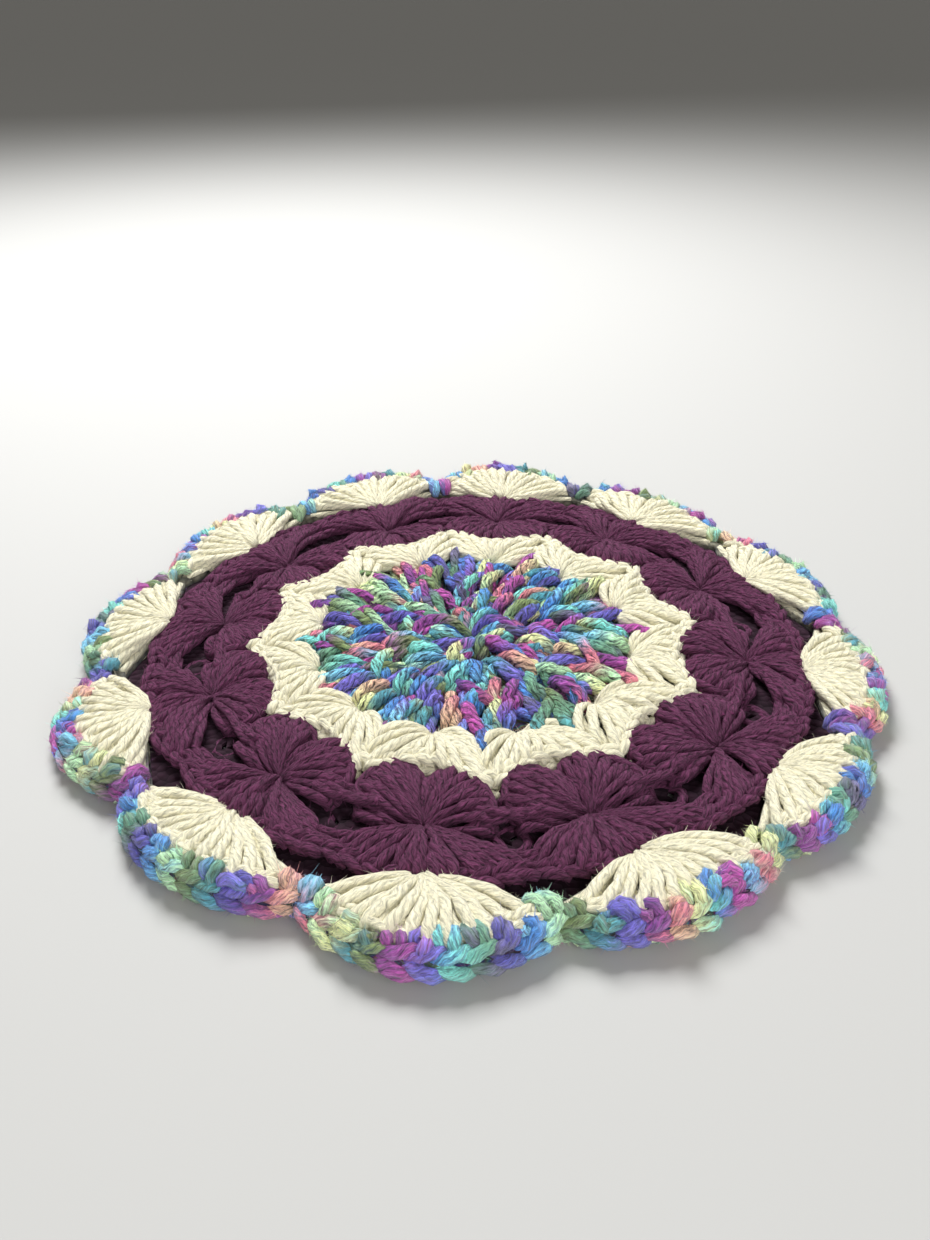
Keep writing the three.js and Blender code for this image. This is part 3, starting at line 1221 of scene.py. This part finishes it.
@dataclass
class Rosette(Round):
    """The variegated middle: four pairs of tiers of raised petals, and points between the fans.

    The last tiers aim past the rosette's edge and may reach a bit further. A petal sways about
    its pivot, the less the further out it is, and some points have a hooked tip. The petal's
    spread is in shares of its radius, all but where it starts.
    """

    tiers: tuple[Tier, ...] = (
        Tier(2.5, 14.0, 12, 1.6, 1.4),
        Tier(1.6, 15.0, 13, 1.65, 0.0),
        Tier(11.0, 25.0, 21, 1.65, 1.6),
        Tier(12.0, 26.0, 22, 1.7, 0.1),
        Tier(20.5, 35.0, 31, 1.65, 1.6),
        Tier(22.0, 36.0, 32, 1.7, 0.2),
        Tier(31.0, None, 44, 1.65, 1.7),
        Tier(30.0, None, 42, 1.7, 0.2),
    )
    petal_shares: Floats = (0.0, 0.25, 0.55, 0.85, 1.0)
    petal_depths: Floats = (4.4, 2.6, 1.4, 1.7, 3.9)
    petal: Stitch = Stitch(
        1.0, (0.5, 0.75, 1.0, 1.05, 1.0, 0.55), (0.2, 0.54, 0.9, 0.9, 0.63), 0.5, 0.05)
    petal_vary: float = 0.12
    stray_depth: float = 0.5
    stray_place: float = 0.24
    stray_inner: float = 1.0
    stray_outer: float = 1.9
    past_edge: tuple[float, float] = (0.4, 0.6)
    lean: float = 0.28
    lean_radius: float = 40.0
    lean_pivot: float = 0.3
    point_inner: float = 36.0
    point_reach: float = -0.8
    point_depth: float = 0.9
    point: Stitch = Stitch(
        1.45, (0.5, 0.8, 1.0, 1.1, 1.3, 1.15), (0.2, 0.8, 1.3, 1.4, 1.1), 0.3)
    tip_lift: float = 1.2
    hooks: tuple[int, ...] = (1, 2, 3, 4)
    hook_lifts: tuple[float, float] = (1.0, 2.8)
    hook_reach: float = 0.98
    back: Stitch = Stitch(1.2, BACK_PROFILE, (0.2, 0.9, 1.2, 1.2, 0.8))
    back_heights: Floats = (2.4, 1.5, 1.2, 1.3, 2.4)

    def stitches(self) -> list[Piece]:
        """Makes the petals and the points on the upper side, and the petals' backs."""
        upper = self.yarn_mesh()
        for tier in self.tiers:
            self.work_tier(upper, tier)
        self.work_points(upper)
        under = self.yarn_mesh(Face.UNDER)
        for tier in self.tiers[1::2]:
            place = np.arange(tier.petals) * WHEELS / tier.petals
            share = np.linspace(0, 1, len(self.back_heights))
            radius = tier.inner + (tier.ends(place) - tier.inner)[:, None] * share
            height = np.broadcast_to(self.back_heights, radius.shape)
            lines = polar(radius, place[:, None], height)
            self.work(under, self.back.along(lines), self.back, stitches=tier.petals)
        return [upper.build("rosette_petals", self.material),
                under.build("rosette_back", self.material)]

    def petals(self, inner: Array, outer: Array, place: Array, depth: float) -> Array:
        """Petals' middle lines from their inner ends, which are tucked under, to blunt tips.

        Args:
            inner: the radii where they start.
            outer: the radii where they end.
            place: their places, counted in wheels.
            depth: how much deeper they lie than the petals on top.

        Returns:
            Lines of shape (petals, controls, 3).
        """
        share = np.array(self.petal_shares)
        below = np.array(self.petal_depths) + depth
        below = below + self.rng.normal(0, self.stray_depth, (len(place), 1))
        radius = inner[:, None] + (outer - inner)[:, None] * share
        sway = self.rng.normal(0, self.lean, len(place)) * self.lean_radius / ((inner + outer) / 2)
        return sunk(radius, place[:, None] + sway[:, None] * (share - self.lean_pivot), below)

    def work_tier(self, mesh: YarnMesh, tier: Tier) -> None:
        """Works one tier of petals into a mesh.

        Args:
            mesh: where they go.
            tier: the tier.
        """
        spacing = WHEELS / tier.petals
        place = (np.arange(tier.petals) + 0.5) * spacing
        place = place + self.rng.normal(0, self.stray_place * spacing, tier.petals)
        inner = tier.inner + self.rng.normal(0, self.stray_inner, tier.petals)
        outer = tier.ends(place, self.past_edge[0])
        outer = outer + self.rng.normal(0, self.stray_outer, tier.petals)
        outer = np.minimum(outer, ROSETTE_EDGE.radius(place) + self.past_edge[1])
        lines = self.petals(inner, outer, place, tier.depth)
        start, *rest = self.petal.spread
        spread = (start, *(share * tier.strand for share in rest))
        petal = replace(self.petal, radius=tier.strand, spread=spread)
        self.work(mesh, petal.along(lines), petal, self.fibres, tier.petals, self.petal_vary)

    def work_points(self, mesh: YarnMesh) -> None:
        """Works a point between each two fans, some with a hooked tip.

        Args:
            mesh: where they go.
        """
        place = np.arange(WHEELS) + 0.5
        reach = ROSETTE_EDGE.radius(place) + self.point_reach
        lines = self.petals(np.full(WHEELS, self.point_inner), reach, place, self.point_depth)
        hooks = list(self.hooks)
        lines[:, -1, 2] += self.tip_lift
        lines[hooks, -2:, 2] += self.hook_lifts
        lines[hooks, -1:, :2] *= self.hook_reach
        self.work(mesh, self.point.along(lines), self.point, self.fibres, WHEELS)


@dataclass(kw_only=True)
class CreamFans(Round):
    """A cream round of twelve fans, whose edge is a chain of V's on a cord."""

    name: str
    fan: Fan
    fan_wander: float
    cord: Course
    cord_radius: float
    chain: Chain
    chain_course: Course

    def stitches(self) -> list[Piece]:
        """Makes the fans with the chain along their edge, and their backs."""
        upper = self.yarn_mesh()
        self.work_fan(upper, self.fan, self.fan_wander)
        self.work_cords(upper, self.cord.line()[None], self.cord_radius)
        self.work_chain(upper, self.chain, self.chain_course.line())
        return [upper.build(self.name + "_fans", self.material),
                self.work_back(self.name + "_back", self.fan)]


@dataclass
class InnerCream(CreamFans):
    """The cream round of twelve small fans about the rosette."""

    name: str = "inner_cream"
    fan: Fan = Fan((0.0, 45.2), ((-12.8, 50.5), (-16.2, 57.5), (-15.4, 61.8), (-10.0, 61.0),
                                 (-5.0, 58.9), (0.0, 58.2)), 11,
                   Stitch(1.4, CREAM_PROFILE, POST_SPREAD, 0.5),
                   (3.4, 1.7, 0.6, 1.0, 2.4, 3.2), bow=3.2, mound=0.7)
    fan_wander: float = 0.16
    cord: Course = Course(INNER_CREAM_EDGE, -0.9, 3.5)
    cord_radius: float = 1.35
    chain: Chain = Chain(1.3, (0.6, 1.0, 1.05, 0.95, 0.6), 8, 1.7, 1.2, 0.15)
    chain_course: Course = Course(INNER_CREAM_EDGE, -3.8, 0.9, points=41)


@dataclass
class PurpleWheels(Round):
    """The purple round of twelve wheels, each an inner and an outer half about an eye.

    The edge's chain lies deeper at its middle and at its sides: each has a depth and a reach.
    """

    inner_fan: Fan = Fan((0.0, 76.0), ((-15.6, 75.4), (-16.2, 67.3), (-9.2, 59.4), (-3.0, 60.6),
                                       (0.0, 63.4)), 16,
                         Stitch(1.15, (0.45, 0.7, 0.9, 1.1, 1.3, 1.2), POST_SPREAD, 0.7),
                         (3.4, 2.4, 1.1, 0.3, 1.2, 3.4), bow=1.6, mound=2.8, lobes=2)
    inner_wander: float = 0.17
    outer_fan: Fan = Fan((0.0, 76.0), ((-18.6, 83.6), (-21.2, 88.4), (-12.0, 90.9), (0.0, 91.6)),
                         16, Stitch(1.15, (0.45, 0.7, 0.9, 1.1, 1.2, 1.05), POST_SPREAD, 0.7),
                         (3.4, 2.2, 1.0, 0.7, 2.2, 3.6), mound=1.5, lobes=3)
    fibres: float = 2.4
    top_points: int = 17
    top_inward: float = 0.3
    top_depths: tuple[float, float] = (1.3, 3.3)
    top_radius: float = 1.5
    hole_half: tuple[float, float] = (1.5, 2.1)
    hole_radius: float = 78.2
    collar_reach: tuple[float, float] = (2.0, 1.9)
    collar_height: float = 2.2
    collar_points: int = 10
    collar: Strand = Strand(1.3, (1.0, 1.0))
    collar_wander: float = 0.6
    bridge_half: float = 0.22
    bridge_points: int = 5
    bridge_radii: Floats = (70.4, 73.3, 84.6, 86.8, 89.2)
    bridge_depths: Floats = (2.5, 1.8, 3.0, 2.7, 3.2)
    bridge_bend: float = 14.0
    bridge_rise: float = 12.0
    bridge: Stitch = Stitch(1.15, (0.9, 1.0, 1.0, 0.9), (0.5, 0.6, 0.5), 0.8)
    bridge_wander: float = 0.45
    chain: Chain = Chain(1.35, (0.6, 1.0, 1.0, 0.95, 0.6), 10, 1.9, 1.1, tilt=0.1)
    chain_half: Outline = ((-23.3, 87.0), (-17.0, 89.2), (-9.0, 91.2), (0.0, 91.7))
    chain_points: int = 41
    chain_depth: float = 0.7
    chain_middle: tuple[float, float] = (1.9, 12.0)
    chain_sides: tuple[float, float] = (1.2, 25.0)

    def stitches(self) -> list[Piece]:
        """Makes the wheels' inner and outer halves, and their backs."""
        inner = self.yarn_mesh()
        self.work_fan(inner, self.inner_fan, self.inner_wander)
        self.work_collars(inner)
        self.work_cords(inner, self.tops(), self.top_radius)
        self.work_bridges(inner)
        outer = self.yarn_mesh()
        self.work_fan(outer, self.outer_fan)
        self.work_chain(outer, self.chain, self.chain_line())
        return [inner.build("purple_wheel_inner_halves", self.material),
                outer.build("purple_wheel_outer_halves", self.material),
                self.work_back("purple_wheels_back", self.inner_fan, self.outer_fan)]

    def is_open(self, radius: Array, s: Array) -> Array:
        """Where the cloth is open: a gap between each two wheels, beside their eyes.

        Args:
            radius: radii, in millimetres.
            s: places, counted in wheels.

        Returns:
            Whether it is open there.
        """
        away = (s - np.floor(s) - 0.5) * SECTOR * radius
        along = (radius - self.hole_radius) / self.hole_half[1]
        return (away / self.hole_half[0]) ** 2 + along**2 < 1

    def work_collars(self, mesh: YarnMesh) -> None:
        """Works the rings of yarn that line the gaps between the wheels.

        Args:
            mesh: where they go.
        """
        turn = np.linspace(0, 2 * math.pi, self.collar_points)
        x = (self.hole_half[0] + self.collar_reach[0]) * np.sin(turn)
        y = self.hole_radius + (self.hole_half[1] + self.collar_reach[1]) * np.cos(turn)
        ring = around(np.stack([x, y, 0 * x + self.collar_height], -1)[None], 0.5)
        self.work(mesh, all_round(ring, self.rng, self.collar_wander), self.collar)

    def tops(self) -> Array:
        """Works out the lines that the tops of the inner halves' posts bend over.

        Returns:
            Lines of shape (lines, controls, 3).
        """
        outline = outline_of(self.inner_fan.half, self.top_points) - [0.0, self.top_inward]
        sink = self.inner_fan.sink(self.top_points)
        return np.stack([surface(outline, depth + sink) for depth in self.top_depths])

    def work_bridges(self, mesh: YarnMesh) -> None:
        """Works the slack bands of yarn that join two wheels above and below the gap.

        Args:
            mesh: where they go.
        """
        away = np.linspace(-self.bridge_half, self.bridge_half, self.bridge_points)
        bend = self.bridge_bend * (self.bridge_half**2 - away**2)
        radius = np.array(self.bridge_radii)[:, None] + bend
        depth = np.array(self.bridge_depths)[:, None] - self.bridge_rise * away**2
        pairs = self.bridge.along(sunk(radius, 0.5 + away, depth))
        self.work(mesh, all_round(pairs, self.rng, self.bridge_wander), self.bridge, self.fibres)

    def chain_line(self) -> Array:
        """Works out where the chain along the outer halves' tops goes.

        Returns:
            Its middle line's points, lower at its middle and ends.
        """
        line = outline_of(self.chain_half, self.chain_points)
        middle = self.chain_middle[0] * np.exp(-((line[:, 0] / self.chain_middle[1]) ** 2))
        sides = self.chain_sides[0] * (line[:, 0] / self.chain_sides[1]) ** 2
        return surface(line, self.chain_depth + middle + sides)


@dataclass
class OuterCream(CreamFans):
    """The cream round of twelve half-moon fans outside the wheels."""

    name: str = "outer_cream"
    fan: Fan = Fan((0.0, 91.6), ((-23.8, 100.4), (-21.8, 104.8), (-12.0, 108.1), (0.0, 109.5)), 12,
                   Stitch(1.45, CREAM_PROFILE, POST_SPREAD, 0.5),
                   (1.3, 0.5, 0.1, 0.2, 1.6, 3.0), bow=2.2, mound=0.7)
    fan_wander: float = 0.2
    cord: Course = Course(WHEEL_EDGE, 1.5, 2.9, -0.46, 0.46)
    cord_radius: float = 1.4
    chain: Chain = Chain(1.25, (0.6, 1.0, 1.05, 0.7), 9, 1.5, 1.3, 0.3)
    chain_course: Course = Course(OUTER_CREAM_EDGE, -1.3, 0.5, -0.42, 0.42, 31)


@dataclass
class Edging(Round):
    """The variegated single-crochet edging: posts over the cream, and a braid on the rim.

    A post bites into the cream by a chance amount, and by notch_bite more at a notch.
    """

    per_wheel: int = 11
    per_stitch: float = 15.0
    fibres: float = 10.0
    bite: tuple[float, float] = (-3.0, 2.4)
    bite_power: float = 1.6
    notch_bite: float = 4.7
    notch_power: int = 6
    slant: float = 0.18
    post_inset: float = 4.6
    post_shares: Floats = (0, 0.12, 0.45, 0.8, 1.0)
    post_slants: Floats = (-1.6, -1, 0, 0.5, 0.8)
    post_depths: Floats = (2.6, 0.4, -0.7, 0.1, 1.9)
    post: Stitch = Stitch(
        1.4, (0.85, 1.0, 1.05, 1.0, 0.8), (0.6, 1.0, 1.25, 1.3, 1.0), 0.3, -0.15)
    post_wander: float = 0.35
    braid: Chain = Chain(1.08 * 1.4, (0.6, 1.0, 1.05, 1.0, 0.6), WHEELS * 11, 2.25, 1.2,
                         tilt=math.radians(52), overlap=1.6)
    braid_course: Course = Course(RIM, -2.8, 2.5, end=WHEELS - 0.5, points=1201)
    wall_insets: Floats = (3.6, 2.6, 3.0, 5.0, 9.0)
    wall_heights: Floats = (3.6, 2.4, 1.6, 1.3, 1.6)
    wall: Stitch = Stitch(1.2, (0.8, 1.0, 1.0, 1.0, 0.7), (1.0, 1.1, 1.1, 1.1, 0.9))
    wall_step: float = 1.6

    def stitches(self) -> list[Piece]:
        """Makes the posts and the braid, and the stitches under the rim."""
        total = WHEELS * self.per_wheel
        upper = self.yarn_mesh()
        pairs = self.post.along(self.posts())
        pairs = pairs + self.rng.normal(0, self.post_wander, (len(pairs), 1, 3))
        self.work(upper, pairs, self.post, self.fibres, total)
        legs = self.braid.legs(self.braid_course.line())
        legs = legs + self.rng.normal(0, self.braid.wander, (len(legs), 1, 3))
        # A stitch's V on the rim has the same stretch of the dyes as its post.
        self.ball -= total * self.per_stitch
        self.work(upper, legs, self.braid, self.fibres, total)
        self.ball += total * self.per_stitch
        under = self.yarn_mesh(Face.UNDER)
        walls = self.wall.along(self.walls())
        self.work(under, walls, self.wall, stitches=2 * total, step=self.wall_step)
        return [upper.build("edging_stitches", self.material),
                under.build("edging_back", self.material)]

    def places(self, per_wheel: int) -> Array:
        """Places spaced evenly all round the pad, some to a wheel."""
        return (np.arange(WHEELS * per_wheel) + 0.5) / per_wheel - 0.5

    def posts(self) -> Array:
        """Works out where the posts go, which bite into the cream, most at a notch.

        Returns:
            Their middle lines, of shape (posts, controls, 3).
        """
        place = self.places(self.per_wheel)
        chance = self.rng.uniform(0, 1, len(place)) ** self.bite_power
        deep = self.bite[0] + (self.bite[1] - self.bite[0]) * chance
        deep = deep + self.notch_bite * away_from_wheel(place) ** self.notch_power
        inner = OUTER_CREAM_EDGE.radius(place) - deep
        outer = RIM.radius(place) - self.post_inset
        radius = inner[:, None] + (outer - inner)[:, None] * np.array(self.post_shares)
        slant = self.rng.normal(0, self.slant / self.per_wheel, len(place))
        s = place[:, None] + slant[:, None] * np.array(self.post_slants)
        return sunk(radius, s, np.array(self.post_depths))

    def walls(self) -> Array:
        """Works out where the stitches under the rim go, two to each post.

        Returns:
            Lines down the rim's outer wall and back under it.
        """
        place = self.places(2 * self.per_wheel)[:, None]
        radius = RIM.radius(place) - np.array(self.wall_insets)
        return polar(radius, place, np.broadcast_to(self.wall_heights, radius.shape))


@dataclass(frozen=True)
class Lamp:
    """A soft lamp that faces the pad: its place and size in metres and its power in watts."""

    name: str
    place: tuple[float, float, float]
    size: float
    power: float

    def build(self) -> None:
        """Makes the lamp."""
        data = bpy.data.lights.new(self.name, "AREA")
        data.size = self.size
        data.energy = self.power
        lamp = bpy.data.objects.new(self.name, data)
        x, y, z = self.place
        lamp.location = self.place
        lamp.rotation_euler = (math.atan2(math.hypot(x, y), z), 0, math.atan2(x, -y))
        bpy.context.scene.collection.objects.link(lamp)


@dataclass
class Studio:
    """The plain floor, the soft lights and the camera, which is placed in millimetres."""

    focal_px: float = 1000.0
    frame_height_px: int = 1240
    pitch: float = math.radians(32.3)
    roll: float = math.radians(0.2)
    distance: float = 309.0
    target: tuple[float, float, float] = (-3.3, 19.7, 0.0)
    sensor: float = 36.0
    clip_start: float = 0.01
    floor_size: float = 80.0
    floor_color: tuple[float, float, float] = (0.45, 0.45, 0.44)
    floor_roughness: float = 0.8
    lamps: tuple[Lamp, ...] = (
        Lamp("key", (-0.2, 0.6, 0.8), 0.45, 17.0),
        Lamp("fill", (0.3, -0.8, 0.4), 0.8, 7.0),
    )
    sky_color: tuple[float, float, float] = (1.0, 0.97, 0.91)
    sky_strength: float = 0.24

    def build(self) -> None:
        """Makes the studio."""
        self.floor()
        for lamp in self.lamps:
            lamp.build()
        self.world()
        self.camera()

    def camera(self) -> None:
        """Makes the camera, at the photograph's angle."""
        data = bpy.data.cameras.new("camera")
        data.sensor_fit = "VERTICAL"
        data.sensor_height = self.sensor
        data.lens = self.focal_px / self.frame_height_px * self.sensor
        data.clip_start = self.clip_start
        camera = bpy.data.objects.new("camera", data)
        bpy.context.scene.collection.objects.link(camera)
        away = np.array([0, -math.cos(self.pitch), math.sin(self.pitch)]) * self.distance
        camera.location = (np.array(self.target) - MIDDLE + away) * MM
        camera.rotation_euler = (math.pi / 2 - self.pitch, self.roll, 0)
        bpy.context.scene.camera = camera

    def floor(self) -> None:
        """Makes a plain pale floor, under the pad."""
        bpy.ops.object.select_all(action="DESELECT")
        bpy.ops.mesh.primitive_plane_add(size=self.floor_size, location=(0, 0, 0))
        floor = bpy.context.object
        floor.name = "floor"
        material = bpy.data.materials.new("floor_paint")
        material.use_nodes = True
        shader = material.node_tree.nodes["Principled BSDF"]
        shader.inputs["Base Color"].default_value = (*self.floor_color, 1)
        shader.inputs["Roughness"].default_value = self.floor_roughness
        floor.data.materials.append(material)

    def world(self) -> None:
        """Makes a pale world, and keeps colours as they are in the view."""
        world = bpy.data.worlds.new("studio")
        world.use_nodes = True
        background = world.node_tree.nodes["Background"]
        background.inputs[0].default_value = (*self.sky_color, 1)
        background.inputs[1].default_value = self.sky_strength
        bpy.context.scene.world = world
        bpy.context.scene.view_settings.view_transform = "Standard"


def main() -> None:
    """Builds the studio and the five rounds."""
    logging.basicConfig(level=logging.INFO, format="%(message)s")
    rng = np.random.default_rng(SEED)
    Studio().build()
    fibres = YarnFibres().group()
    rosette_cloth = BaseCloth("rosette_cloth", None, ROSETTE_EDGE, 1.6, 4.6)
    inner_cloth = BaseCloth("inner_cream_cloth", ROSETTE_EDGE, INNER_CREAM_EDGE, 1.6, 4.6)
    purple_cloth = BaseCloth("purple_cloth", INNER_CREAM_EDGE, WHEEL_EDGE, 1.3, 2.9, 0.3, 20)
    outer_cloth = BaseCloth("outer_cream_cloth", WHEEL_EDGE, OUTER_CREAM_EDGE, 1.6, 4.8, 0.3)
    edging_cloth = BaseCloth("edging_cloth", OUTER_CREAM_EDGE, RIM, 1.6, 4.4, 2.0, 6)
    centre, variegated, cream, purple = (
        (finish.material(fibres), finish.deep(), rng)
        for finish in (CENTRE, VARIEGATED, CREAM, PURPLE))
    rounds = (
        Rosette("centre_rosette", "variegated_centre_yarn", rosette_cloth, *centre),
        InnerCream("inner_cream_round", "cream_yarn", inner_cloth, *cream),
        PurpleWheels("purple_wheel_round", "purple_yarn", purple_cloth, *purple),
        OuterCream("outer_cream_round", "cream_yarn", outer_cloth, *cream),
        Edging("edging_round", "variegated_edging_yarn", edging_cloth, *variegated),
    )
    for piece in rounds:
        piece.build()


if __name__ == "__main__":
    main()
